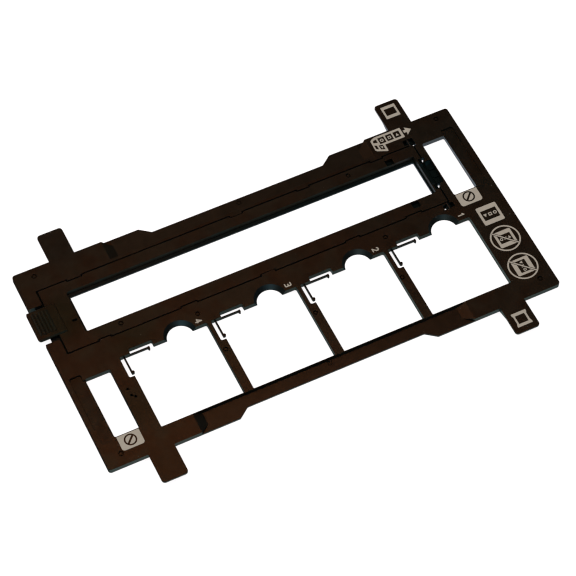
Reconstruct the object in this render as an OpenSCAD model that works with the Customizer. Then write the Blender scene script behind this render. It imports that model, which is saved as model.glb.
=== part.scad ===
// Film and slide carrier for a flatbed scanner: a flat moulded frame with a
// hinged cover over a 35 mm film channel on one long side and four pockets for
// 50 x 50 mm slide mounts on the other. Millimetres, +Z up. The origin is the
// centre of the frame's outline on its bottom face, +X runs along the film
// towards the cover's hinge and +Y from the slide pockets to the film channel.
// "Near" is the -Y side and "far" the +Y side.

/* [Frame] */
// Length of the frame along X
frame_l = 285.4; // [283:0.2:292]
// Width of the frame along Y, without its locating tabs
frame_w = 140.2; // [140:0.2:146]
// Full thickness of the frame's ends and land
frame_t = 3.5; // [3.3:0.1:4.2]
// Thickness of the thinned middle of the two long rails
flange_t = 1.3; // [1.0:0.1:1.6]
// Distance from each end to the start of the rail ramps
ramp_from = 56.3; // [50:0.1:60]
// Length of each rail ramp
ramp_l = 5.7; // [4:0.1:9]
// Width of the slanted outer corner of each ramp
ramp_slant = 4.3; // [0:0.1:5]
// Depth of the step in the outline at the middle of both long sides
waist = 5.0; // [3:0.5:5.5]
// Radius of the frame's outer corners
corner_r = 1.8; // [1:0.1:3]

/* [Locating tabs] */
// Width of each locating tab along X
tab_w = 15.7; // [12:0.1:18]
// Reach of each tab beyond the frame's side
tab_reach = 19.5; // [10:0.5:22]
// Thickness of each tab, flush with the top face
tab_t = 1.2; // [1:0.1:2]
// X of the tabs at the latch end
tab_left_x = -111.2; // [-114:0.1:-108]
// X of the tabs at the hinge end
tab_right_x = 110.55; // [107:0.1:113]

/* [Slide pockets] */
// Pocket width along X, for a 50 mm mount
pocket_w = 51.3; // [50.8:0.1:52]
// Pocket length along Y, for a 50 mm mount
pocket_h = 50.7; // [50.4:0.1:51.2]
// Pitch of the four pockets
pocket_pitch = 57; // [56:0.1:58]
// X of the left edge of the pocket at the latch end
pocket_x = -105.3; // [-106:0.1:-104]
// Y of the pockets' near edge
pocket_y = -57.1; // [-58:0.1:-56.5]
// Thickness of the spring fingers
finger_t = 0.8; // [0.6:0.05:0.8]
// Height of the spring fingers
finger_h = 1.7; // [1.2:0.1:2.2]

/* [Film channel] */
// Width of the film channel, for 35 mm film
film_w = 35.2; // [35.1:0.1:35.6]
// Y of the film channel's centre line
film_y = 31.4; // [31:0.1:31.8]
// Width of the gate opening in the frame
gate_w = 25.0; // [24:0.2:25.4]
// X of the gate's latch end
gate_x0 = -117.3; // [-118:0.1:-116]
// X of the gate's hinge end
gate_x1 = 106.1; // [105:0.1:106.6]
// Height of the shelf that the cover rests over
shelf_z = 1.5; // [1.4:0.1:1.7]
// Depth of the film channel below the shelf
channel_d = 0.2; // [0.15:0.05:0.3]

/* [Cover] */
// X of the cover's latch end
cover_x0 = -133.1; // [-134:0.1:-133]
// X of the cover's hinge end
cover_x1 = 111.0; // [110.8:0.1:111.2]
// Width of the cover along Y
cover_w = 45.0; // [44.6:0.1:45.4]
// Width of the gap around the cover
cover_gap = 0.8; // [0.5:0.1:0.8]
// Height of the thumb latch above the cover's top face
latch_rise = 1.0; // [0.6:0.1:1.4]
// Pitch of the ridges on the thumb latch
ridge_pitch = 2.1; // [2.0:0.1:2.3]

/* [Hinge] */
// Radius of the cover's hinge knuckles
knuckle_r = 1.1; // [1.0:0.05:1.2]
// Radius of the two hinge pins
pin_r = 0.6; // [0.5:0.05:0.65]
// Running clearance around a pin, on the radius
pin_clear = 0.05; // [0.03:0.01:0.09]

/* [Hidden] */

plastic = [0.16, 0.125, 0.095];
plastic_cover = [0.18, 0.14, 0.105];
finger_col = [0.22, 0.2, 0.19];
print_col = [0.78, 0.75, 0.68];
pivot_col = [0.1, 0.1, 0.1];

overrun = 0.5;                 // reach of a cut beyond a face
print_t = 0.08;                // thickness of a printed mark
half_l = frame_l / 2;
half_w = frame_w / 2;

cover_y = film_y + 0.1;        // centre line of the cover
cover_y0 = cover_y - cover_w / 2;
cover_y1 = cover_y + cover_w / 2;
cover_z0 = shelf_z + 0.05;     // underside of the closed cover
recess_y0 = cover_y0 - cover_gap;
recess_y1 = cover_y1 + cover_gap;
axis_x = cover_x1 - knuckle_r; // hinge axis, parallel to Y
axis_z = frame_t - knuckle_r;

// Light windows: size, and the lower left corner of each
window_w = 15.2;
window_h = 41.2;
window_left = [-131.5, -52.2];
window_right = [116.4, 11.1];

// ---- Shared shapes ----

function unit(v) = v / norm(v);

// Arc of n + 1 points that rounds corner q between its two neighbours
function round_corner(before, q, after, r, n) =
    let (to_before = unit(before - q),
         to_after = unit(after - q),
         half = acos(to_before * to_after) / 2,
         centre = q + unit(to_before + to_after) * r / sin(half),
         first = q + to_before * r / tan(half) - centre,
         last = q + to_after * r / tan(half) - centre,
         start = atan2(first[1], first[0]),
         turn = ((atan2(last[1], last[0]) - start + 540) % 360) - 180)
    [for (i = [0:n]) centre + r * [cos(start + turn * i / n), sin(start + turn * i / n)]];

function xy(p) = [p[0], p[1]];

// Rounds each corner [x, y, radius] of an outline that runs counter-clockwise
function round_pts(p, n = 5) =
    let (count = len(p))
    [for (k = [0:count - 1])
        for (q = p[k][2] <= 0
                ? [xy(p[k])]
                : round_corner(xy(p[(k + count - 1) % count]), xy(p[k]),
                               xy(p[(k + 1) % count]), p[k][2], n))
            q];

// Rounded rectangle; r is one radius, or four counter-clockwise from [x0, y0]
module rrect(x0, x1, y0, y1, r, n = 5) {
    radii = is_list(r) ? r : [r, r, r, r];
    polygon(round_pts([[x0, y0, radii[0]], [x1, y0, radii[1]],
                       [x1, y1, radii[2]], [x0, y1, radii[3]]], n));
}

// Rectangle from [x, y, width, height]
module rect(c) translate([c[0], c[1]]) square([c[2], c[3]]);

// Flat shape extruded between two heights, and one cut right through the frame
module slab(z0, z1) translate([0, 0, z0]) linear_extrude(z1 - z0) children();
module through() slab(-overrun, frame_t + overrun) children();

// YZ profile extruded along X, and XZ profile extruded along Y
module along_x(x0, x1) translate([x0, 0, 0]) rotate([90, 0, 90]) linear_extrude(x1 - x0) children();
module along_y(y0, y1) translate([0, y1, 0]) rotate([90, 0, 0]) linear_extrude(y1 - y0) children();

// Cylinder on the hinge axis
module hinge_rod(y0, y1, r, fn = 32)
    translate([axis_x, y1, axis_z]) rotate([90, 0, 0]) cylinder(r = r, h = y1 - y0, $fn = fn);

// Trough along X with sloped sides: z0 at its floor, z1 at the top of the slopes
module trough(x0, x1, y0, y1, z0, z1) {
    slope_w = 2;
    top = frame_t + overrun;
    along_x(x0, x1)
        polygon([[y0, top], [y0, z1], [y0 + slope_w, z0], [y1 - slope_w, z0], [y1, z1], [y1, top]]);
}

// Round dish of depth d below z, with a nub left in its middle
module mark(p, z, r, d) translate([p[0], p[1], z - d]) difference() {
    cylinder(r = r, h = d + overrun, $fn = 28);
    translate([0, 0, -0.1]) cylinder(r = r / 2, h = d, $fn = 24);
}

// ---- Frame body ----

waist_x0 = half_l - 80;        // where the outline starts to step in
waist_x1 = half_l - 86.7;      // and where it has stepped in fully
waist_y = half_w - waist;
step_r0 = 0.8;
step_r1 = 1.2;

// Corners of the frame: x, y, radius
frame_outline = [
    [-half_l, -half_w, corner_r], [-waist_x0, -half_w, step_r0], [-waist_x1, -waist_y, step_r1],
    [waist_x1, -waist_y, step_r1], [waist_x0, -half_w, step_r0], [half_l, -half_w, corner_r],
    [half_l, half_w, corner_r], [waist_x0, half_w, step_r0], [waist_x1, waist_y, step_r1],
    [-waist_x1, waist_y, step_r1], [-waist_x0, half_w, step_r0], [-half_l, half_w, corner_r]];

ramp_top = half_l - ramp_from; // distance of each ramp's top and foot from x = 0
ramp_foot = ramp_top - ramp_l;

tab_overlap = 2;               // run of a tab into the frame
tab_corner_r = 2;

// Locating tab; side is +1 on the far side and -1 on the near side
module tab(x, side) {
    ends = [side * (half_w - tab_overlap), side * (half_w + tab_reach)];
    slab(frame_t - tab_t, frame_t)
        rrect(x - tab_w / 2, x + tab_w / 2, min(ends), max(ends),
              side > 0 ? [0, 0, tab_corner_r, tab_corner_r] : [tab_corner_r, tab_corner_r, 0, 0]);
}

// Thickening of a tab towards its root, down to the frame's bottom face
module tab_root(x, side) {
    inner = side * (half_w - tab_overlap);
    foot = side * (half_w + 0.2);
    tip = side * (half_w + 7.6);
    top = frame_t - 0.3;
    along_x(x - tab_w / 2, x + tab_w / 2)
        polygon([[inner, 0], [foot, 0], [tip, frame_t - tab_t - 0.001], [tip, top], [inner, top]]);
}

// Cut that thins a long rail to the flange between its ramps
module rail_cut(y0, y1)
    along_y(y0, y1)
        polygon([[-ramp_top, frame_t], [-ramp_foot, flange_t],
                 [ramp_foot, flange_t], [ramp_top, frame_t],
                 [ramp_top, frame_t + overrun], [-ramp_top, frame_t + overrun]]);

// Cut that slants the outer corner of one ramp
module ramp_corner(end, side) {
    inner_x = end * (ramp_foot - 0.2);
    outer_y = side * (half_w + 1);
    slab(flange_t, frame_t + overrun)
        polygon([[end * ramp_top, side * half_w], [end * ramp_foot, side * (half_w - ramp_slant)],
                 [inner_x, side * (half_w - ramp_slant)], [inner_x, outer_y],
                 [end * ramp_top, outer_y]]);
}

module frame_body() {
    difference() {
        slab(0, frame_t) polygon(round_pts(frame_outline));
        rail_cut(-half_w - 1, pocket_y - 0.35);
        rail_cut(recess_y1 + 1.8, half_w + 1);
        for (end = [-1, 1], side = [-1, 1]) ramp_corner(end, side);
    }
    for (side = [-1, 1]) {
        tab(tab_left_x, side);
        tab(tab_right_x, side);
        tab_root(tab_right_x, side);
    }
}

// ---- Slide pockets, numbered 1 to 4 from the hinge end ----

land_y = pocket_y + pocket_h;  // pockets' far edge
root_r = 0.45;                 // round root of a spring finger
root_gap = 0.05;
seat_z = finger_h + 0.1;       // height of a root's seat

bay_w = 3.15;                  // side bay that holds the side finger
bay_l = 14.4;

bite_x = 34.6;                 // centre of the thumb bite from the pocket's left edge
bite_inset = 1.2;              // and from its far edge
bite_r = 8.1;
bite_top_r = 10.0;
bite_lip = 0.4;                // height at which the bevel starts

function pocket_left(k) = pocket_x + pocket_pitch * (4 - k);

// Root centres of the two fingers of pocket k
function side_root(k) = [pocket_left(k) - 0.1, land_y + 0.55];
function top_root(k) = [pocket_left(k) + 2.95, land_y + finger_t / 2];

// Half-round bite with a wide bevel, so that a fingertip can lift a mount
module thumb_bite(k)
    translate([pocket_left(k) + bite_x, land_y - bite_inset, 0]) {
        translate([0, 0, -overrun]) cylinder(r = bite_r, h = frame_t + 2 * overrun, $fn = 72);
        translate([0, 0, bite_lip])
            cylinder(r1 = bite_r, r2 = bite_top_r, h = frame_t - bite_lip + 0.001, $fn = 72);
        translate([0, 0, frame_t]) cylinder(r = bite_top_r, h = overrun, $fn = 72);
    }

// Seat of a finger's root; neck is the outline of the way in for the blade
module root_seat(root, neck) {
    translate([root[0], root[1], -overrun])
        cylinder(r = root_r + root_gap, h = seat_z + overrun, $fn = 32);
    slab(-overrun, seat_z) polygon(neck);
}

module pocket_cut(k) {
    x0 = pocket_left(k);
    x1 = x0 + pocket_w;
    bay_x = x0 - bay_w;
    bay_y = land_y - bay_l;
    side = side_root(k);
    top = top_root(k);
    half_t = finger_t / 2;
    through() polygon(round_pts(
        [[x0, pocket_y, 0.5], [x1, pocket_y, 0.5], [x1, land_y, 1.0],
         [bay_x, land_y, 0.8], [bay_x, bay_y, 1.0], [x0, bay_y, 0.3]]));
    // relief slot behind the top finger
    through() rrect(x0 + 3.5, x0 + 18.1, land_y - 1, land_y + 3.0, 0.9);
    thumb_bite(k);
    root_seat(side, [[side[0] - half_t - 0.12, land_y - 0.5], [side[0] + half_t + 0.1, land_y - 0.5],
                     [side[0] + half_t + 0.1, side[1]], [side[0] - half_t - 0.1, side[1]]]);
    root_seat(top, [[top[0], top[1] - half_t - 0.1], [top[0] + 1.0, top[1] - half_t - 0.1],
                    [top[0] + 1.0, top[1] + half_t + 0.15], [top[0], top[1] + half_t + 0.1]]);
}

// ---- Cover outline and the recess it lies in ----

// Notches in the cover's edges, filled by film hold-down tabs of the frame:
// x0, x1, narrowing of the gap beside the tab
near_notches = [[-114.3, -106.3, 0], [-63.3, -52.3, 0], [-12.3, -2.3, 0.4],
                [42.7, 52.7, 0], [82.7, 93.7, 0]];
far_notches = [[-115.3, -105.3, 0], [-11.3, -2.3, 0.4], [32.7, 41.7, 0], [81.7, 90.7, 0]];
notch_d = 1.0;

// Clear slots in the frame beyond the hinge: y0, y1
frame_slots = [[21.2, 23.2], [41.9, 43.7]];

// Mouth in the frame's end for the thumb latch
mouth_x = -138.3;
mouth_y0 = 19.2;
mouth_y1 = 44.9;

// Outline of the cover, or of its recess when grown by the gap
module cover_outline(grow) {
    function depth(notch) = notch_d + (grow > 0 ? notch[2] : 0);
    function width(notch) = notch[1] - notch[0] - 2 * grow;
    past = 1;                  // reach of a notch beyond the edge
    difference() {
        rrect(cover_x0 - grow, cover_x1 + grow, cover_y0 - grow, cover_y1 + grow, 0.4);
        for (n = near_notches)
            rect([n[0] + grow, cover_y0 - grow - past, width(n), depth(n) + past]);
        for (n = far_notches)
            rect([n[0] + grow, cover_y1 + grow - depth(n), width(n), depth(n) + past]);
    }
}

// Recess for the cover, film channel, gate and the mouth for the latch
module cover_recess() {
    slab(shelf_z, frame_t + overrun) cover_outline(cover_gap);
    slab(shelf_z, frame_t + overrun)
        rrect(cover_x0 - cover_gap - 0.3, cover_x0 + 5, recess_y0, recess_y1, 0.4);
    slab(shelf_z - channel_d, frame_t)
        rrect(-129, axis_x - 2, film_y - film_w / 2, film_y + film_w / 2, 0.6);
    slab(-overrun, frame_t)
        rrect(gate_x0, gate_x1, film_y - gate_w / 2, film_y + gate_w / 2, 0.8);
    // deeper floor under the cover's two square holes
    for (c = [[89.6, 46.3, 5.9, 4.9], [89.6, 12.3, 5.9, 5.1]]) slab(0.9, frame_t) rect(c);
    // the mouth, with a lower shelf at its root
    through() rrect(-half_l - 3, mouth_x, mouth_y0, mouth_y1, [0, 0.9, 0.9, 0]);
    slab(1.2, frame_t + overrun) rect([mouth_x - 0.5, mouth_y0, 6, mouth_y1 - mouth_y0]);
}

// ---- Hinge seats in the frame ----

clip_gap = 1.4;                // from the recess to each clip
clip_w = 1.6;
saddle_in = 0.5;               // run of a saddle or bore into the recess
saddle_out = clip_gap + clip_w;
bore_out = 6.0;                // reach of a bore beyond the recess
saddle_z = axis_z + 0.35;      // top of the clips and floor of the saddles

// Wells at the outer ends of the hinge, with the clips left standing in them
module hinge_wells() difference() {
    union() {
        slab(0.5, frame_t + overrun)
            rrect(axis_x - 3.6, axis_x + 3.3, recess_y0 - 4.2, recess_y0 - 0.6, 0.6);
        slab(0.5, frame_t + overrun)
            rrect(axis_x - 3.5, axis_x + 3.3, recess_y1 + 0.6, recess_y1 + 4.5, 0.6);
        slab(0.8, frame_t + overrun)
            rrect(axis_x + 1.4, axis_x + 3.3, cover_y1 - 0.5, recess_y1 + 2, 0.4);
    }
    for (y = [recess_y0 - saddle_out, recess_y1 + clip_gap])
        slab(0, saddle_z) rect([axis_x - 1.3, y, 2.6, clip_w]);
}

// Lowered seat between the cover's end and the light window, with two ribs
module hinge_end_seat() difference() {
    trough(cover_x1 - 1, window_right[0] - 0.7, 22.6, 40.4, 1.3, 2.8);
    rib_x = cover_x1 + 1.2;
    for (y = [28.3, 34.3]) slab(0, 2.1) rect([rib_x, y, window_right[0] - rib_x, 0.9]);
}

module hinge_cuts() {
    // room for the knuckles
    slab(axis_z - knuckle_r - 0.5, frame_t)
        rect([axis_x - 2, recess_y0, cover_x1 + cover_gap - axis_x + 2, recess_y1 - recess_y0]);
    for (s = frame_slots)
        slab(-overrun, frame_t) rrect(cover_x1 + 0.6, cover_x1 + 1.9, s[0], s[1], 0.3);
    hinge_end_seat();
    hinge_wells();
    // a small clear hole in each well
    slab(-overrun, frame_t)
        rrect(axis_x - 2.6, axis_x - 1.4, recess_y0 - 3.0, recess_y0 - 1.6, 0.3);
    slab(-overrun, frame_t)
        rrect(axis_x + 2.2, axis_x + 3.2, recess_y1 + 0.3, recess_y1 + 1.2, 0.3);
    // open saddles over the pins, then the bores that hold them
    for (y = [recess_y0 - saddle_out, recess_y1 - saddle_in])
        slab(saddle_z, frame_t + overrun)
            rrect(axis_x - 1.2, axis_x + 1.2, y, y + saddle_in + saddle_out, 0.2);
    for (y = [recess_y0 - bore_out, recess_y1 - saddle_in])
        hinge_rod(y, y + saddle_in + bore_out, pin_r - 0.005);
}

// ---- Light windows, moulding marks and underside ----

// Wedge-shaped dish from x0 to x1 beside the window that starts at y0, deepest at
// the far end. It runs on past the window by up, where it stops at upper_x1
module dish(x0, x1, upper_x1, y0, up) {
    y1 = y0 + window_h;
    top = frame_t + overrun;
    intersection() {
        along_x(x0, x1)
            polygon([[y0 - 2, frame_t], [y1 + up, frame_t - 1.1], [y1 + up, top], [y0 - 2, top]]);
        slab(frame_t - 1.2, top) union() {
            rect([x0, y0 - 3, x1 - x0, window_h + 2.6]);
            rrect(x0, upper_x1, y0, y1 + up, 1.4);
        }
    }
}

module light_windows() {
    for (w = [window_left, window_right])
        through() rrect(w[0], w[0] + window_w, w[1], w[1] + window_h, 1.0);
    dish(-half_l + 2.8, window_left[0] + 0.3, window_left[0] - 1.2, window_left[1], 3.9);
    dish(window_right[0] + window_w - 0.3, half_l - 3.4, half_l - 3.4, window_right[1], 4.3);
}

// Centres of the ejector and gate marks: x, y
end_marks = [[-130.8, 64.6], [-132.3, -63.0], [133.0, 65.4], [133.7, -62.1]];
flange_marks = [[-1.6, -60.0], [-1.0, 62.0]];
land_marks = [[-56.1, 1.2], [65.7, 2.0], [-51.6, -27.1], [5.3, -27.1], [61.5, -27.1]];
plain_dishes = [[-112.4, -27.1], [-111.9, -31.6], [-110.3, -33.2]];

module moulding_marks() {
    dish_d = 1.7;
    for (p = end_marks) mark(p, z = frame_t, r = 1.65, d = 0.7);
    for (p = flange_marks) mark(p, z = flange_t, r = 1.65, d = 0.4);
    for (p = land_marks) mark(p, z = frame_t, r = 1.5, d = 0.8);
    for (p = plain_dishes)
        translate([p[0], p[1], frame_t - dish_d])
            cylinder(r = 0.85, h = dish_d + overrun, $fn = 28);
}

// Cored pockets on the underside: x0, x1, y0, y1, depth
cores = [[-half_l + 3, -133.0, -58, 8, 0.9], [132.9, half_l - 3, -58, 8, 0.9],
         [-100, -56, 1.6, 6.6, 1.1], [56, 100, 3.4, 6.6, 1.1]];

module base_frame() color(plastic) difference() {
    frame_body();
    for (k = [1:4]) pocket_cut(k);
    light_windows();
    cover_recess();
    hinge_cuts();
    moulding_marks();
    for (c = cores) slab(-overrun, c[4]) rrect(c[0], c[1], c[2], c[3], 1.0);
}

// ---- Cover ----

// Clear slots beside the knuckles: y0, y1
cover_slots = [[19.4, 23.1], [40.1, 43.4]];

// Thumb latch: extent of its pad in X and Y
latch_x0 = -145.4;
latch_x1 = -127.9;
latch_y0 = 22.2;
latch_y1 = 42.8;
latch_r = 1.8;
latch_top = frame_t + latch_rise;

// Long window over the gate
opening_x0 = -118.6;
opening_x1 = 107.1;
opening_y0 = 17.65;
opening_y1 = 46.1;

// Rectangular holes: x, y, width, height
cover_holes = [[90.0, 46.7, 5.1, 4.1], [90.1, 12.7, 5.0, 4.3], [-122.6, 26.7, 2.8, 1.5]];

module knuckle(y0, y1) {
    hinge_rod(y0, y1, knuckle_r, fn = 48);
    slab(axis_z, frame_t) rect([axis_x - 0.1, y0, 1.05, y1 - y0]);
}

// Raised pad with sloping sides that runs out over the frame's end
module latch_pad() intersection() {
    along_y(latch_y0, latch_y1)
        polygon([[latch_x0 + 0.5, frame_t - 0.9], [cover_x0 + 1, frame_t - 0.9],
                 [cover_x0 + 2, frame_t - 0.2], [latch_x1, frame_t - 0.2], [latch_x1, frame_t],
                 [latch_x1 - 0.3, latch_top], [latch_x0 + 0.2, latch_top],
                 [latch_x0, latch_top - 0.3], [latch_x0, frame_t - 0.5]]);
    along_x(-150, -120)
        polygon([[latch_y0, frame_t - 2], [latch_y1, frame_t - 2], [latch_y1, frame_t + 0.1],
                 [latch_y1 - 0.6, latch_top + 0.01], [latch_y1 - 0.6, latch_top + 1],
                 [latch_y0 + 0.6, latch_top + 1], [latch_y0 + 0.6, latch_top + 0.01],
                 [latch_y0, frame_t + 0.1]]);
}

// Trapezoid ridge across the thumb latch
module ridge(x)
    translate([x, 0, latch_top - 0.05]) along_y(25.2, 40.4)
        polygon([[-0.8, 0], [0.8, 0], [0.25, 0.5], [-0.25, 0.5]]);

// Cuts that round the two outer corners of the latch
module latch_corners() {
    size = latch_r + 1;
    // y of the square's near edge, y of the arc's centre
    for (c = [[latch_y0 - 1, latch_y0 + latch_r], [latch_y1 - latch_r, latch_y1 - latch_r]])
        slab(cover_z0 - overrun, latch_top + 1) difference() {
            rect([latch_x0 - 1, c[0], size, size]);
            translate([latch_x0 + latch_r, c[1]]) circle(r = latch_r, $fn = 40);
        }
}

// Profile of a window side that leans outwards from edge; lean is its offset at
// the top face and slope its offset per millimetre below the cover
module leaning_side(edge, lean, slope)
    polygon([[edge - 1.1, cover_z0 - overrun], [edge - overrun * slope, cover_z0 - overrun],
             [edge + lean, frame_t], [edge + lean, frame_t + overrun],
             [edge - 1.1, frame_t + overrun]]);

// The long window, with its far and hinge-end sides leaning outwards
module cover_opening() {
    slab(0, frame_t + overrun) rrect(opening_x0, opening_x1, opening_y0, opening_y1, 0.8);
    along_x(opening_x0 + 0.8, opening_x1) leaning_side(opening_y1, lean = 0.62, slope = 0.32);
    along_y(opening_y0 + 0.45, opening_y1) leaning_side(opening_x1, lean = 0.5, slope = 0.26);
}

module film_cover() color(plastic_cover) difference() {
    union() {
        slab(cover_z0, frame_t) difference() {
            cover_outline(0);
            rect([axis_x, cover_y0 - 1, 10, cover_w + 2]);
        }
        knuckle(cover_y0, cover_slots[0][0]);
        knuckle(cover_slots[1][1], cover_y1);
        latch_pad();
        for (i = [0:4]) ridge(-142.3 + ridge_pitch * i);
        // stiffening lip under the pad
        slab(cover_z0, frame_t - 0.5) rrect(-136.6, cover_x0 + 2, 23.0, 42.0, 0.5);
    }
    latch_corners();
    cover_opening();
    for (c = cover_holes) slab(0, frame_t + overrun) rect(c);
    for (p = [[-98.3, 14.2], [65.8, 50.7]]) mark(p, z = frame_t, r = 1.6, d = 0.8);
    for (s = cover_slots) slab(0, frame_t + overrun) rect([108.6, s[0], 4, s[1] - s[0]]);
    // lowered bar between the knuckles
    trough(107.9, 113, 23.0, 40.2, frame_t - 1.1, frame_t - 0.1);
    // running bores for the two pins
    hinge_rod(cover_y0 - 1, cover_y0 + 8, pin_r + pin_clear);
    hinge_rod(cover_y1 - 8, cover_y1 + 1, pin_r + pin_clear);
}

// ---- Hinge pins ----

pin_in = 7.8;                  // reach of a pin inside the cover's edge
pin_out = 5.6;                 // and outside it

module hinge_pin_near() color(pivot_col) hinge_rod(cover_y0 - pin_out, cover_y0 + pin_in, pin_r);
module hinge_pin_far() color(pivot_col) hinge_rod(cover_y1 - pin_in, cover_y1 + pin_out, pin_r);

// ---- Spring fingers ----

module finger_root(root)
    translate([root[0], root[1], 0]) cylinder(r = root_r, h = finger_h, $fn = 32);

// Side finger: a round root, a thin blade and a rounded bead at its tip
module side_finger(k) color(finger_col) {
    root = side_root(k);
    x1 = root[0] + finger_t / 2;
    x0 = x1 - finger_t;
    tip = land_y - 11.7;
    bead_r = 0.95;
    finger_root(root);
    slab(0, finger_h)
        polygon([[x1, root[1]], [x0, root[1]], [x0, tip + 0.7],
                 [x0 + 0.15, tip + 0.1], [x0 + 0.7, tip], [x1 + 0.1, tip + 0.1]]);
    intersection() {
        translate([x1 + 0.2, tip + bead_r, 0]) cylinder(r = bead_r, h = finger_h, $fn = 40);
        slab(-1, finger_h + 1) rect([x1 - 0.3, tip - 1, 3, 5]);
    }
}

// Top finger: a round root and a thin blade with a hooked bead that points into
// the pocket
module top_finger(k) color(finger_col) {
    root = top_root(k);
    y0 = root[1] - finger_t / 2;
    y1 = y0 + finger_t;
    tip = pocket_left(k) + 15.8;
    finger_root(root);
    slab(0, finger_h)
        polygon([[root[0], y0], [tip - 1.5, y0], [tip - 1.05, y0 - 1.05], [tip - 0.7, y0 - 1.25],
                 [tip - 0.35, y0 - 1.1], [tip - 0.15, y0 - 0.7], [tip, y0 + 0.15],
                 [tip - 0.1, y1 + 0.05], [tip - 0.5, y1 + 0.2], [tip - 1.3, y1], [root[0], y1]]);
}

module slide_spring_side_1() side_finger(1);
module slide_spring_side_2() side_finger(2);
module slide_spring_side_3() side_finger(3);
module slide_spring_side_4() side_finger(4);
module slide_spring_top_1() top_finger(1);
module slide_spring_top_2() top_finger(2);
module slide_spring_top_3() top_finger(3);
module slide_spring_top_4() top_finger(4);

// ---- Printed marks ----

module printed() color(print_col) slab(frame_t, frame_t + print_t) children();

// Ring with a slanted bar across it
module keep_clear_sign(centre) {
    r = 3.75;
    line_w = 0.95;
    translate(centre) {
        difference() {
            circle(r = r, $fn = 64);
            circle(r = r - line_w, $fn = 64);
        }
        intersection() {
            rotate(45) square([2 * r, 1.2], center = true);
            circle(r = r - line_w / 2, $fn = 64);
        }
    }
}

// Pale label with a keep-clear sign left open in it
module window_label(x0, x1, y0, y1, sign) printed() difference() {
    rrect(x0, x1, y0, y1, [1.6, 1.6, 0.3, 0.3]);
    keep_clear_sign(sign);
}
module window_label_left() window_label(-130.8, -117.3, -62.3, -52.7, [-124.1, -57.2]);
module window_label_right() window_label(116.7, 130.7, 1.4, 10.6, [123.7, 6.6]);

// Pen paths of the digits 1 to 4, each a list of [x, y] points
digit_paths = [
    [[[1.1, 0], [1.1, 3.4], [0.3, 2.7]]],
    [[[2.0, 0], [0.2, 0], [1.9, 2.0], [1.9, 2.9], [1.5, 3.4], [0.6, 3.4], [0.2, 2.9]]],
    [[[0.2, 3.4], [1.6, 3.4], [2.0, 2.9], [2.0, 2.2], [1.5, 1.8], [0.8, 1.8]],
     [[1.5, 1.8], [2.0, 1.3], [2.0, 0.5], [1.6, 0], [0.2, 0]]],
    [[[1.6, 0], [1.6, 3.4], [0.1, 1.0], [2.1, 1.0]]]];
stroke_w = 0.7;

module stroke(a, b) {
    d = b - a;
    translate(a) rotate(atan2(d[1], d[0])) translate([-stroke_w / 2, -stroke_w / 2])
        square([norm(d) + stroke_w, stroke_w]);
}

// Number of pocket k, turned so that the digit's right points to -Y and its top to +X
module slot_number(k) printed()
    translate([pocket_left(k) + 45.8, land_y + 4.15]) rotate(-90)
        for (path = digit_paths[k - 1], i = [1:len(path) - 1]) stroke(path[i - 1], path[i]);
module slot_number_1() slot_number(1);
module slot_number_2() slot_number(2);
module slot_number_3() slot_number(3);
module slot_number_4() slot_number(4);

// A ring, a square and a triangle in a row at the given pitch factor
module shapes(size) {
    translate([-1.25 * size, 0]) difference() {
        circle(r = size * 0.46, $fn = 40);
        circle(r = size * 0.24, $fn = 28);
    }
    difference() {
        square([0.86 * size, 0.86 * size], center = true);
        square([0.44 * size, 0.44 * size], center = true);
    }
    translate([1.25 * size, 0])
        polygon([[-size * 0.45, -size * 0.42], [size * 0.45, -size * 0.42], [0, size * 0.46]]);
}

// Slide mount: a square card with a w by h aperture, and the three shapes in it
module mount_sign(card, w, h) {
    difference() {
        rrect(-card / 2, card / 2, -card / 2, card / 2, 0.8, 4);
        square([w, h], center = true);
    }
    shapes(w * 0.25);
}
module slide_ok_mark() printed() translate([129.2, -9.8]) rotate(180) mount_sign(13.2, 10.1, 7.1);

// Mount at an angle inside a struck-out ring
module wrong_mark(centre, angle, card, w, h) printed() {
    difference() {
        union() {
            difference() {
                translate(centre) circle(r = 9.1, $fn = 80);
                translate(centre) circle(r = 8.2, $fn = 80);
            }
            intersection() {
                translate(centre) rotate(angle) mount_sign(card, w, h);
                translate(centre) circle(r = 8.3, $fn = 64);
            }
        }
        // clear band on both sides of the bar
        translate(centre) rotate(-45) square([17.2, 1.5], center = true);
    }
    intersection() {
        translate(centre) rotate(-45) square([18, 0.75], center = true);
        translate(centre) circle(r = 8.8, $fn = 64);
    }
}
module slide_wrong_mark_a() wrong_mark([129.0, -28.8], 0, 11.2, 8.2, 5.9);
module slide_wrong_mark_b() wrong_mark([128.8, -50.2], 90, 11.3, 8.3, 6.1);

// Film strip that curls back under itself, its frames and the arrow: x, y
strip = [[109.7, 61.5], [109.7, 68.9], [92.3, 68.9], [90.3, 68.2], [89.1, 67.1], [88.9, 60.1],
         [89.6, 59.1], [95.4, 56.6], [96.1, 56.7], [96.2, 61.5]];
curled_frames = [
    [[90.3, 65.1], [92.8, 64.5], [92.8, 67.2], [91.3, 67.1], [90.3, 66.4]],
    [[92.3, 59.3], [94.9, 58.2], [94.9, 61.9], [92.3, 62.6]],
    [[89.8, 60.6], [91.3, 59.8], [91.3, 62.9], [89.8, 63.6]]];
triangles = [[[105.1, 64.2], [107.1, 64.2], [106.1, 66.3]],
             [[92.9, 61.4], [94.4, 61.0], [93.7, 59.4]]];
arrow = [[110.6, 64.3], [112.3, 64.3], [112.1, 62.3], [115.7, 65.3],
         [112.1, 68.0], [112.3, 66.2], [110.6, 66.2]];

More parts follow.
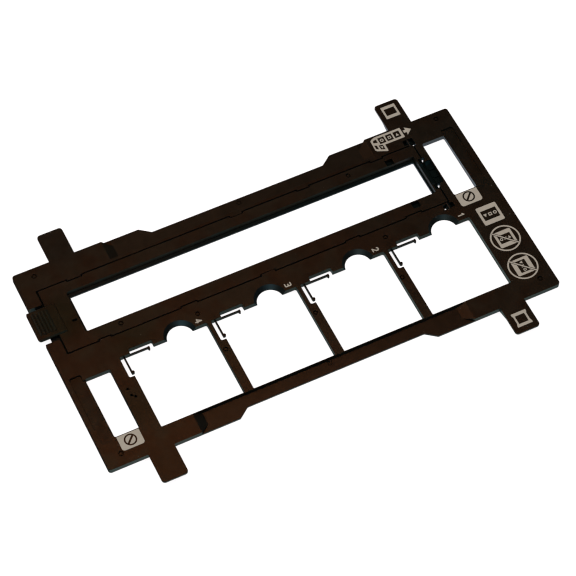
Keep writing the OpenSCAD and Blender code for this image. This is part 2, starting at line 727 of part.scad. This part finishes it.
module film_direction_mark() printed() {
    difference() {
        polygon(strip);
        for (x = [93.75, 98.85, 104.0]) rect([x, 62.9, 4.15, 4.6]);
        for (p = curled_frames) polygon(p);
    }
    translate([95.82, 65.2]) difference() {
        circle(r = 1.15, $fn = 36);
        circle(r = 0.55, $fn = 24);
    }
    translate([99.95, 64.2]) difference() {
        square([1.95, 2.0]);
        rect([0.5, 0.5, 0.95, 1.0]);
    }
    for (p = triangles) polygon(p);
    polygon(arrow);
}

// Open frames on the two tabs at the hinge end
near_mark_outline = [
    [105.9, -76.6], [105.9, -77.7], [106.4, -79.2], [106.4, -83.4], [105.8, -84.9], [105.8, -86.0],
    [115.4, -86.0], [115.4, -84.9], [114.8, -83.4], [114.8, -79.2], [115.4, -77.7], [115.4, -76.6]];

module tab_mark_near() printed() difference() {
    polygon(near_mark_outline);
    rect([107.45, -84.2, 6.2, 5.6]);
}
module tab_mark_far() printed() difference() {
    rrect(105.9, 115.2, 77.7, 86.9, 0.3, 2);
    rect([107.1, 79.8, 6.9, 5.1]);
}

base_frame();
film_cover();
hinge_pin_near();
hinge_pin_far();
slide_spring_side_1();
slide_spring_side_2();
slide_spring_side_3();
slide_spring_side_4();
slide_spring_top_1();
slide_spring_top_2();
slide_spring_top_3();
slide_spring_top_4();
window_label_left();
window_label_right();
slot_number_1();
slot_number_2();
slot_number_3();
slot_number_4();
film_direction_mark();
slide_ok_mark();
slide_wrong_mark_a();
slide_wrong_mark_b();
tab_mark_near();
tab_mark_far();
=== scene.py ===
# A dark moulded plastic frame with a film cover, slide springs, hinge pins and printed marks.
# It lies flat in the XY plane, top towards +Z, on a pale floor, seen from -X, -Y and above.
# The scene is in metres; material patterns use millimetres in each part's own frame.
import math
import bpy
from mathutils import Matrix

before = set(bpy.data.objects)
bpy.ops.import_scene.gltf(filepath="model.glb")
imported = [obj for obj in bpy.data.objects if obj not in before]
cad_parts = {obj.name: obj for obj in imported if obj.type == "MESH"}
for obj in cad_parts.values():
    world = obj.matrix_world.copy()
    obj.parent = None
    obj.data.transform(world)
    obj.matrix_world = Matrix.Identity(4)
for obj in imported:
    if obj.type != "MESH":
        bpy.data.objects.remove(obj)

from types import SimpleNamespace

import bpy
from mathutils import Matrix, Vector

bpy.context.view_layer.update()
scene = bpy.context.scene
MM = 0.001
WHITE = (1.0, 1.0, 1.0)
FALLING = (1.0, 0.0)          # remap target for a mask that fades out


# ---------------------------------------------------------------- node helpers
class Tree:
    """Builds a shader tree; every input may be given a link or a value."""

    def __init__(self, owner):
        owner.use_nodes = True
        self.tree = owner.node_tree
        self.tree.nodes.clear()

    def put(self, socket, value):
        if isinstance(value, bpy.types.NodeSocket):
            self.tree.links.new(value, socket)
            return
        if isinstance(value, tuple) and len(value) == 3 and len(socket.default_value) == 4:
            value = (*value, 1.0)
        socket.default_value = value

    def node(self, kind, *values, props=None, **named):
        """A node with its properties set, then its inputs by position and by name."""
        node = self.tree.nodes.new("ShaderNode" + kind)
        for key, value in (props or {}).items():
            setattr(node, key, value)
        for socket, value in zip(node.inputs, values):
            self.put(socket, value)
        for key, value in named.items():
            self.put(node.inputs[key.replace("_", " ")], value)
        return node

    def math(self, operation, *values, clamp=False):
        props = {"operation": operation, "use_clamp": clamp}
        return self.node("Math", *values, props=props).outputs[0]

    def add(self, a, b):
        return self.math("ADD", a, b)

    def sub(self, a, b):
        return self.math("SUBTRACT", a, b)

    def chain(self, operation, first, *rest):
        """Folds the values together from left to right."""
        for value in rest:
            first = self.math(operation, first, value)
        return first

    def mul(self, *factors):
        return self.chain("MULTIPLY", *factors)

    def dim(self, value, mask, amount):
        """Lowers the value by this fraction where the mask is 1."""
        return self.mul(value, self.sub(1.0, self.mul(mask, amount)))

    def vector(self, operation, a, b):
        node = self.node("VectorMath", a, b, props={"operation": operation})
        return node.outputs[1 if operation in ("DOT_PRODUCT", "DISTANCE") else 0]

    def separate(self, vector):
        return self.node("SeparateXYZ", vector).outputs

    def remap(self, value, over, to=(0.0, 1.0), smooth=False):
        """Clamped map of the range `over` on to the range `to`."""
        props = {"interpolation_type": "SMOOTHSTEP" if smooth else "LINEAR"}
        return self.node("MapRange", value, *over, *to, props=props).outputs[0]

    def band(self, value, low, high, blend):
        """1 between low and high, with soft ends."""
        return self.mul(self.remap(value, over=(low - blend, low + blend)),
                        self.remap(value, over=(high - blend, high + blend), to=FALLING))

    def mix(self, fac, a, b):
        node = self.node("Mix", fac, props={"data_type": "RGBA"})
        self.put(node.inputs[6], a)
        self.put(node.inputs[7], b)
        return node.outputs[2]

    def mix_shader(self, fac, a, b):
        return self.node("MixShader", fac, a, b).outputs[0]

    def coords(self, scale=1000.0, turn=0.0, squash_x=1.0):
        """Scaled object coordinates, millimetres by default, turned about Z."""
        place = self.node("TexCoord").outputs["Object"]
        return self.node("Mapping", Vector=place, Rotation=(0.0, 0.0, turn),
                         Scale=(scale * squash_x, scale, scale)).outputs[0]

    def noise(self, vector, scale, detail=2.0, rough=0.5, distortion=0.0):
        return self.node("TexNoise", Vector=vector, Scale=scale, Detail=detail,
                         Roughness=rough, Distortion=distortion).outputs[0]

    def voronoi(self, vector, scale):
        return self.node("TexVoronoi", Vector=vector, Scale=scale).outputs


def new_material(name):
    material = bpy.data.materials.new(name)
    return material, Tree(material)


def scaled(colour, factor, offset=0.0):
    return tuple(c * factor + offset for c in colour)


# ---------------------------------------------------------------- masks
def inside(t, place, box):
    """1 inside the millimetre box (x0, x1, y0, y1, z0, z1), 0 outside, over a short blend."""
    x, y, z = t.separate(place)
    x0, x1, y0, y1, z0, z1 = box
    return t.mul(t.band(x, x0, x1, blend=0.05),
                 t.band(y, y0, y1, blend=0.05),
                 t.remap(z, over=(z0, z0 + 0.06)),
                 t.remap(z, over=(z1 - 0.1, z1), to=FALLING))


BITE_PITCH = 57.0                     # the four fingertip bites stand in a row along X
BITE_CENTRE = (-70.7, -7.6)           # the first bite
BITE_RING = (8.0, 10.0)               # inner and outer radius of the cone's painted sheen
BITE_GAIN = (1.42, 2.25, 3.05)        # red, green and blue gain of the painted sheen
BITE_SHEEN = (                        # half turns from +X towards +Y, painted sheen level
    (0.10, 0.24), (0.20, 0.32), (0.285, 0.80), (0.345, 1.0), (0.385, 0.92),
    (0.467, 0.43), (0.556, 0.235), (0.65, 0.23), (0.74, 0.31), (0.85, 0.40))


def painted_bite_sheen(t, place):
    """A painted sheen round the +Y side of each bite's cone, dying away to both sides."""
    x, y, z = t.separate(place)
    dx = t.math("WRAP", t.add(x, -BITE_CENTRE[0]), BITE_PITCH / 2, -BITE_PITCH / 2)
    dy = t.add(y, -BITE_CENTRE[1])
    distance = t.math("SQRT", t.add(t.mul(dx, dx), t.mul(dy, dy)))
    height = t.mul(t.remap(z, over=(0.30, 0.45)),
                   t.remap(z, over=(3.40, 3.47), to=FALLING))
    ring = t.mul(t.band(distance, *BITE_RING, blend=0.05), height,
                 t.remap(y, over=(-7.0, -6.6)))
    half_turns = t.math("DIVIDE", t.math("ARCTAN2", dy, dx), math.pi)
    ramp_node = t.node("ValToRGB", half_turns)
    elements = ramp_node.color_ramp.elements
    elements[0].position = BITE_SHEEN[0][0]
    elements[1].position = BITE_SHEEN[-1][0]
    for position, _ in BITE_SHEEN[1:-1]:
        elements.new(position)
    for element, (position, sheen) in zip(elements, BITE_SHEEN):
        element.position = position
        element.color = (sheen, sheen, sheen, 1.0)
    return t.mix(ring, WHITE, t.vector("MULTIPLY", ramp_node.outputs[0], BITE_GAIN))


# ---------------------------------------------------------------- plastic
SCRATCH_SETS = ((0.12, 3.1), (1.45, 2.3), (-0.62, 2.7))     # turn about Z, noise scale


def scratches(t, place, seed):
    """Long faint scratches in three directions, broken up by slow noise."""
    lines = []
    for k, (turn, scale) in enumerate(SCRATCH_SETS):
        stretched = t.coords(turn=turn, squash_x=0.035)
        stretched = t.vector("ADD", stretched, (seed * 3.3 + k * 11.0, k * 7.7, 0.0))
        line = t.noise(stretched, scale=scale, detail=1.0, rough=0.4)
        line = t.remap(line, over=(0.775, 0.80))
        gate = t.remap(t.noise(place, scale=0.035 + 0.01 * k), over=(0.52, 0.62))
        lines.append(t.mul(line, gate))
    return t.chain("MAXIMUM", *lines)


def dust_specks(t, place):
    """Tiny specks of varied size in a fifth of the cells."""
    distance, cell_colour = t.voronoi(place, scale=0.42)[:2]
    chance = t.node("SeparateColor", cell_colour).outputs[0]
    size = t.mul(t.remap(chance, over=(0.80, 1.0)), 0.085)
    # the small offset avoids a division by zero in empty cells
    speck = t.math("DIVIDE", distance, t.add(size, 1e-4))
    return t.mul(t.remap(speck, over=(0.65, 1.0), to=FALLING),
                 t.remap(chance, over=(0.80, 0.81)))


def plastic_patterns(t, seed, radius, painted_shade_boxes):
    """The masks and noises shared by the plastic's colour, sheen and relief."""
    s = SimpleNamespace()
    s.place = t.coords()
    s.shifted = t.vector("ADD", s.place, (seed * 31.7, seed * 17.3, seed * 5.1))
    # melt flow about 50 mm across, then handling haze about 9 mm across
    s.cloud = t.noise(s.shifted, scale=0.018, detail=3.0, rough=0.55)
    s.blotch = t.noise(s.shifted, scale=0.11, detail=4.0, rough=0.6, distortion=0.4)
    # spark-eroded mould grain and its rounded pits
    s.fine = t.noise(s.shifted, scale=2.6, detail=3.0, rough=0.6)
    s.pits = t.voronoi(s.shifted, scale=3.4)["Distance"]
    s.scratches = scratches(t, s.shifted, seed)
    s.dust = dust_specks(t, s.shifted)
    # wear shows where the rounded normal leaves the true one
    s.rounded = t.node("Bevel", props={"samples": 4}, Radius=radius * MM).outputs[0]
    normal = t.node("NewGeometry").outputs["Normal"]
    s.wear = t.sub(1.0, t.vector("DOT_PRODUCT", s.rounded, normal))
    s.wear = t.remap(s.wear, over=(0.02, 0.22))
    patchy = t.noise(s.shifted, scale=0.35, detail=3.0, rough=0.7)
    s.rub = t.mul(s.wear, t.remap(patchy, over=(0.42, 0.68), to=(0.25, 1.0)))
    # painted shade: crevices and corners, where ambient occlusion finds little open room,
    # lose colour and sheen
    occlusion = t.node("AmbientOcclusion", props={"samples": 6}, Distance=0.95 * MM)
    s.open = t.remap(occlusion.outputs["AO"], over=(0.30, 0.86), to=(0.10, 1.0))
    # painted shade and a cooler painted reflection over the seat and hollow boxes
    seats = [inside(t, s.place, box) for box in painted_shade_boxes]
    s.seat = t.chain("MAXIMUM", *seats) if seats else None
    return s


def plastic_colour(t, s, base, lift, edge):
    colour = t.mix(t.remap(s.cloud, over=(0.3, 0.7)), base, lift)
    grain = t.remap(s.fine, over=(0.35, 0.65))
    layers = [      # mask, colour laid over what is below
        (t.remap(s.blotch, over=(0.30, 0.62), to=(0.35, 0.0)), scaled(base, 0.72)),
        (t.mul(grain, 0.22), scaled(lift, 1.5)),
        (t.mul(s.scratches, 0.30), scaled(lift, 2.3, offset=0.004)),
        (t.mul(s.rub, edge), (0.052, 0.050, 0.046)),
        (t.mul(s.dust, 0.45), (0.20, 0.185, 0.16)),
        # painted shade: darker base colour where the ambient occlusion is low
        (t.sub(1.0, s.open), scaled(base, 0.25)),
    ]
    # painted shade: seats and hollows take a darker, cooler colour
    if s.seat is not None:
        layers.append((t.mul(s.seat, 0.85), (0.0016, 0.0021, 0.0023)))
    for mask, tone in layers:
        colour = t.mix(mask, colour, tone)
    return colour


def plastic_specular(t, s, level):
    level = t.remap(s.blotch, over=(0.30, 0.70), to=(level * 0.84, level * 1.12))
    # painted shade: less sheen where the ambient occlusion is low
    level = t.mul(level, s.open)
    # painted shade: less sheen over the seats and hollows
    if s.seat is not None:
        level = t.dim(level, s.seat, amount=0.45)
    return t.dim(level, s.wear, amount=0.35)


def plastic_tint(t, s, painted_sheen_boxes, painted_sheen_spots, bites):
    """Tint of the sheen: warm to neutral clouds, then painted reflection and sheen: cooler
    seats, the painted sheen boxes and spots, and the painted bite sheen.
    """
    clouds = t.remap(t.noise(s.shifted, scale=0.055), over=(0.36, 0.64), smooth=True)
    tint = t.mix(clouds, (1.0, 0.80, 0.62), (0.92, 1.0, 0.92))
    # painted reflection: the seats' sheen turns cool, bluer towards +X
    if s.seat is not None:
        along_x = t.remap(t.separate(s.place)[0], over=(-112.0, 70.0))
        tint = t.mix(s.seat, tint, t.mix(along_x, (0.62, 0.92, 1.0), (0.16, 0.72, 0.95)))
    # painted sheen: boxes that set the sheen's tint locally
    for box, tone in painted_sheen_boxes:
        tint = t.mix(inside(t, s.place, box), tint, tone)
    # painted sheen: soft spots that multiply the sheen's tint
    for centre, inner, outer, tone in painted_sheen_spots:
        distance = t.vector("DISTANCE", s.place, centre)
        spot = t.remap(distance, over=(inner, outer), to=FALLING, smooth=True)
        tint = t.vector("MULTIPLY", tint, t.mix(spot, WHITE, tone))
    # painted sheen in the fingertip bites
    if bites:
        tint = t.vector("MULTIPLY", tint, painted_bite_sheen(t, s.place))
    return tint


def plastic_roughness(t, s, rough):
    for pattern, amount in ((s.blotch, 0.16), (s.fine, 0.12)):
        rough = t.add(rough, t.mul(t.sub(pattern, 0.5), amount))
    rough = t.sub(rough, t.mul(s.rub, 0.10))
    return t.math("ADD", rough, t.mul(s.dust, 0.3), clamp=True)


def plastic_relief(t, s, grain):
    height = t.add(t.mul(s.fine, 0.6), t.mul(s.pits, 0.5))
    height = t.sub(height, t.mul(s.scratches, 0.5))
    sink = t.noise(s.shifted, scale=0.03, detail=1.0)       # slow sink and warp
    height = t.add(height, t.mul(sink, 1.6))
    return t.node("Bump", Strength=0.22 * grain, Distance=0.2 * MM, Height=height,
                  Normal=s.rounded).outputs[0]


def plastic(name, base, lift, rough, specular, edge, seed, radius, grain=1.0,
            painted_shade_boxes=(), painted_sheen_boxes=(), painted_sheen_spots=(), bites=False):
    """Dark moulded plastic. `radius` rounds the edges, in millimetres. Painted shade boxes
    give seats and hollows painted shade and a cooler painted reflection; painted sheen boxes
    change the sheen's tint, painted sheen spots (centre, inner and outer radius, tint)
    multiply it; `bites` adds a painted sheen."""
    material, t = new_material(name)
    s = plastic_patterns(t, seed, radius, painted_shade_boxes)
    shader = t.node("BsdfPrincipled", IOR=1.49,
                    Base_Color=plastic_colour(t, s, base, lift, edge),
                    Roughness=plastic_roughness(t, s, rough),
                    Normal=plastic_relief(t, s, grain),
                    Specular_IOR_Level=plastic_specular(t, s, specular),
                    Specular_Tint=plastic_tint(t, s, painted_sheen_boxes, painted_sheen_spots, bites))
    t.node("OutputMaterial", Surface=shader.outputs[0])
    return material


def ink(name, base, seed):
    """Pad-printed ink: flat, a little rubbed thin, with the mould grain just showing through.
    """
    material, t = new_material(name)
    place = t.vector("ADD", t.coords(), (seed * 13.0, seed * 7.0, 0.0))
    grain = t.noise(place, scale=3.2, detail=3.0, rough=0.65)
    haze = t.noise(place, scale=0.35, detail=3.0, rough=0.6)
    pinholes = t.voronoi(place, scale=1.7)["Distance"]
    pinholes = t.mul(t.remap(pinholes, over=(0.04, 0.10), to=FALLING),
                     t.remap(t.noise(place, scale=0.8), over=(0.5, 0.62)))
    thin = t.mul(t.remap(grain, over=(0.60, 0.76)), 0.35)
    colour = t.mix(t.remap(haze, over=(0.3, 0.7)), base, scaled(base, 0.90))
    colour = t.mix(t.mul(t.remap(grain, over=(0.3, 0.7)), 0.25), colour, scaled(base, 1.12))
    bare = t.math("MAXIMUM", thin, t.mul(pinholes, 0.8))
    colour = t.mix(bare, colour, (0.03, 0.021, 0.015))
    relief = t.node("Bump", Strength=0.25, Distance=0.1 * MM, Height=grain).outputs[0]
    shader = t.node("BsdfPrincipled", Base_Color=colour, Normal=relief,
                    Roughness=t.remap(grain, over=(0.2, 0.8), to=(0.52, 0.72)),
                    Specular_IOR_Level=0.35)
    t.node("OutputMaterial", Surface=shader.outputs[0])
    return material


# ---------------------------------------------------------------- the parts' materials
MOULDED = dict(base=(0.0012, 0.0012, 0.0008), lift=(0.0016, 0.0015, 0.0010),
               rough=0.40, specular=0.5, edge=0.12)

# boxes are x0, x1, y0, y1, z0, z1
# painted shade and a cooler painted reflection over the film seat and the hinge hollow
FRAME_PAINTED_SHADE_BOXES = ((-141, 116.2, 7.9, 55.5, 0.04, 3.25), (103, 117, 3.2, 62.0, 0.04, 2.85))
# painted shade and a cooler painted reflection over the cover's hinge hollow
COVER_PAINTED_SHADE_BOXES = ((107.6, 117, 22.2, 41.0, 1.6, 3.25),)
# painted sheen: tints that set the sheen's colour in these boxes
FRAME_PAINTED_SHEEN_BOXES = (      # box, tint: two small patches near +Y, then the -Y and +Y strips
    ((80.9, 86.2, 50.0, 71.0, 0.8, 3.45), (0.62, 0.60, 0.52)),
    ((-86.2, -80.9, 50.0, 71.0, 0.8, 3.45), (0.92, 0.66, 0.42)),
    ((-80.7, 80.7, -71.0, -56.0, 0.5, 1.5), (0.97, 0.92, 0.84)),
    ((-80.7, 80.7, 55.0, 71.0, 0.5, 1.5), (0.93, 0.98, 0.92)),
)
# painted sheen: spots that multiply the sheen's tint
FRAME_PAINTED_SHEEN_SPOTS = (      # centre, inner radius, outer radius, tint
    ((-96.0, 4.0, 3.5), 4.0, 22.0, (0.76, 0.83, 0.72)),
    ((-113.0, -38.0, 3.5), 5.0, 20.0, (0.82, 0.80, 0.70)),
    ((-111.2, -84.0, 3.5), 8.0, 26.0, (0.84, 0.95, 1.0)),
    ((-111.2, 84.0, 3.5), 8.0, 26.0, (0.80, 0.97, 1.15)),
    ((-48.5, -20.0, 3.5), 5.0, 24.0, (0.88, 1.15, 1.25)),
)
# painted sheen: spots that multiply the cover's sheen tint
COVER_PAINTED_SHEEN_SPOTS = (
    ((-129.0, 32.0, 3.5), 7.0, 20.0, (0.66, 0.80, 0.66)),
    ((-108.0, 14.0, 3.5), 4.0, 14.0, (0.85, 0.95, 0.95)),
)

FRAME_PLASTIC = plastic("frame_plastic_moulded", **MOULDED, seed=1, radius=0.22,
                        painted_shade_boxes=FRAME_PAINTED_SHADE_BOXES, painted_sheen_boxes=FRAME_PAINTED_SHEEN_BOXES, painted_sheen_spots=FRAME_PAINTED_SHEEN_SPOTS, bites=True)
COVER_PLASTIC = plastic("cover_plastic_moulded", **MOULDED, seed=2, radius=0.26,
                        painted_shade_boxes=COVER_PAINTED_SHADE_BOXES, painted_sheen_spots=COVER_PAINTED_SHEEN_SPOTS)
SPRING_PLASTIC = plastic("spring_plastic_moulded", base=(0.0013, 0.0013, 0.0014),
                         lift=(0.0017, 0.0017, 0.0018), rough=0.38, specular=0.26,
                         edge=0.1, seed=3, radius=0.08, grain=0.5)
PRINT_INK = ink("pad_print_warm_grey", base=(0.212, 0.194, 0.163), seed=1)
PIVOT_PLASTIC = plastic("pivot_plastic_smooth", base=(0.0030, 0.0030, 0.0030),
                        lift=(0.0040, 0.0040, 0.0040), rough=0.30, specular=0.5,
                        edge=0.3, seed=4, radius=0.08, grain=0.3)


def material_for(name):
    if name == "base_frame":
        return FRAME_PLASTIC
    if name == "film_cover":
        return COVER_PLASTIC
    if name.startswith("slide_spring"):
        return SPRING_PLASTIC
    if name.startswith("hinge_pin"):
        return PIVOT_PLASTIC
    return PRINT_INK


for node_name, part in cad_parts.items():
    part.data.materials.clear()
    part.data.materials.append(material_for(node_name))
    part.data.polygons.foreach_set("material_index", [0] * len(part.data.polygons))


# ---------------------------------------------------------------- floor
FLOOR_HALF = 12.0
FLOOR_Z = -0.00006      # just under the parts


def floor_reflection(t):
    """A painted reflection: an emission that only reflections see, standing for what the
    parts mirror of the floor; places are in metres.
    """
    x, y, _ = t.separate(t.coords(scale=1.0))
    to_part = t.separate(t.node("NewGeometry").outputs["Incoming"])
    # a bluish bright patch past the +X end, on the +Y side
    east = t.mul(t.remap(x, over=(0.088, 0.100)), t.remap(y, over=(0.006, 0.012)))
    # sides facing -Y mirror bright paper, brightest beyond the -Y edge
    front = t.remap(to_part[1], over=(-0.10, 0.12))
    front_level = t.remap(y, over=(-0.0710, -0.0695), to=(0.68, 0.44))
    # other sides mirror a level that rises towards +X
    side_level = t.remap(x, over=(-0.125, 0.10), to=(0.03, 0.52))
    level = t.add(t.mul(front, front_level), t.mul(t.sub(1.0, front), side_level))
    # sides facing +X mirror little
    facing = t.remap(to_part[0], over=(-0.62, -0.28), to=(0.12, 1.0))
    level = t.mul(t.add(level, t.mul(east, 0.62)), facing)
    colour = t.mix(east, (0.74, 1.0, 0.97), (0.84, 0.96, 1.12))
    return t.node("Emission", Color=colour, Strength=level).outputs[0]


def floor_paper():
    """White paper that looks different to the camera, to reflections and to other rays."""
    material, t = new_material("floor_paper")
    fibre = t.noise(t.coords(scale=1.0), scale=900.0, detail=3.0, rough=0.6)
    tint = t.mix(t.remap(fibre, over=(0.3, 0.7)), (0.86, 0.86, 0.86), (0.89, 0.888, 0.886))
    diffuse = t.node("BsdfDiffuse", Color=tint).outputs[0]
    rays = t.node("LightPath").outputs
    unseen = t.mix_shader(rays["Is Glossy Ray"], diffuse, floor_reflection(t))
    # the camera sees it nearly white, with only a trace of the contact shadow
    shaded = t.node("BsdfDiffuse", Color=t.mix(0.76, tint, (0.0, 0.0, 0.0))).outputs[0]
    glow = t.node("Emission", Color=(1.0, 0.985, 0.992), Strength=0.86).outputs[0]
    seen = t.node("AddShader", shaded, glow).outputs[0]
    t.node("OutputMaterial", Surface=t.mix_shader(rays["Is Camera Ray"], unseen, seen))
    return material


floor_mesh = bpy.data.meshes.new("studio_floor")
floor_corners = [(sx * FLOOR_HALF, sy * FLOOR_HALF, FLOOR_Z)
                 for sx, sy in ((-1, -1), (1, -1), (1, 1), (-1, 1))]
floor_mesh.from_pydata(floor_corners, [], [(0, 1, 2, 3)])
floor = bpy.data.objects.new("studio_floor", floor_mesh)
scene.collection.objects.link(floor)
floor_mesh.materials.append(floor_paper())


# ---------------------------------------------------------------- world
def reflected_room(t):
    """The colour of the room as reflections see it."""
    direction = t.node("TexCoord").outputs["Generated"]
    x, y, up = t.separate(direction)
    # a warm glow high towards -X +Y
    towards_glow = t.vector("DOT_PRODUCT", direction, (-0.40, 0.40, 0.825))
    glow = t.remap(towards_glow, over=(0.86, 0.99), smooth=True)
    colour = t.mix(glow, (0.012, 0.013, 0.010), (0.66, 0.29, 0.14))
    horizon = t.remap(up, over=(0.02, 0.34), to=FALLING, smooth=True)
    # the pale wall behind the camera, and the lower part of the one towards -X
    behind = t.remap(y, over=(-0.70, -0.25), to=FALLING, smooth=True)
    beside = t.mul(t.remap(x, over=(-0.85, -0.50), to=FALLING, smooth=True),
                   t.remap(up, over=(0.45, 0.75), to=FALLING, smooth=True))
    colour = t.mix(t.math("MAXIMUM", behind, beside), colour, (0.34, 0.33, 0.31))
    return t.mix(horizon, colour, (0.26, 0.29, 0.29))


def background(t, colour, strength):
    return t.node("Background", Color=colour, Strength=strength).outputs[0]


world = bpy.data.worlds.new("studio_world")
scene.world = world
sky = Tree(world)
sky_rays = sky.node("LightPath").outputs
backdrop = background(sky, WHITE, strength=0.99)
mirrored = background(sky, reflected_room(sky), strength=1.0)
ambient = background(sky, (1.0, 0.985, 0.965), strength=0.75)
off_camera = sky.mix_shader(sky_rays["Is Glossy Ray"], ambient, mirrored)
sky.node("OutputWorld",
         Surface=sky.mix_shader(sky_rays["Is Camera Ray"], off_camera, backdrop))


# ---------------------------------------------------------------- lights
def area(name, at, to, size, watts, colour, glossy):
    """A disk lamp aimed from `at` to `to`; `glossy` lets reflections show it."""
    light = bpy.data.lights.new(name, "AREA")
    light.shape = "DISK"
    light.size = size
    light.energy = watts
    light.color = colour
    lamp = bpy.data.objects.new(name, light)
    scene.collection.objects.link(lamp)
    lamp.location = at
    lamp.rotation_euler = (Vector(to) - Vector(at)).to_track_quat("-Z", "Y").to_euler()
    lamp.visible_glossy = glossy
    lamp.visible_camera = False


area("key_soft", at=(-1.5, 0.9, 2.2), to=(0, 0, 0), size=1.6, watts=62.0,
     colour=(1.0, 0.985, 0.96), glossy=False)
area("fill_soft", at=(1.6, -1.2, 2.0), to=(0, 0, 0), size=1.8, watts=34.0,
     colour=(0.98, 0.99, 1.0), glossy=False)
# a small warm lamp overhead on the +Y side, for a local sheen
area("sheen_warm", at=(0.085, 0.262, 1.14), to=(-0.05, -0.04, 0.0), size=0.14, watts=1.48,
     colour=(1.0, 0.36, 0.125), glossy=True)

# ---------------------------------------------------------------- camera
CAMERA_PLACE = Vector((-334.90504633, -634.03767465, 1124.23319961)) * MM
CAMERA_AXES = (
    (0.897967427, -0.439587888, 0.020420309),       # right
    (0.361433051, 0.763198327, 0.535625301),        # up
    (-0.251039141, -0.473593499, 0.84420883),       # backwards, away from the view
)
camera = bpy.data.cameras.new("photo_camera")
camera.sensor_width = 36.0
camera.sensor_fit = "HORIZONTAL"
camera.lens = 143.644285
camera.clip_start = 0.05
camera.clip_end = 100.0
camera_object = bpy.data.objects.new("photo_camera", camera)
scene.collection.objects.link(camera_object)
camera_turn = Matrix(CAMERA_AXES).transposed().to_4x4()
camera_object.matrix_world = Matrix.Translation(CAMERA_PLACE) @ camera_turn
scene.camera = camera_object
scene.cycles.filter_width = 1.25

scene.view_settings.view_transform = "Standard"
scene.view_settings.look = "None"
scene.view_settings.exposure = 0.0
scene.view_settings.gamma = 1.0

bpy.context.view_layer.update()
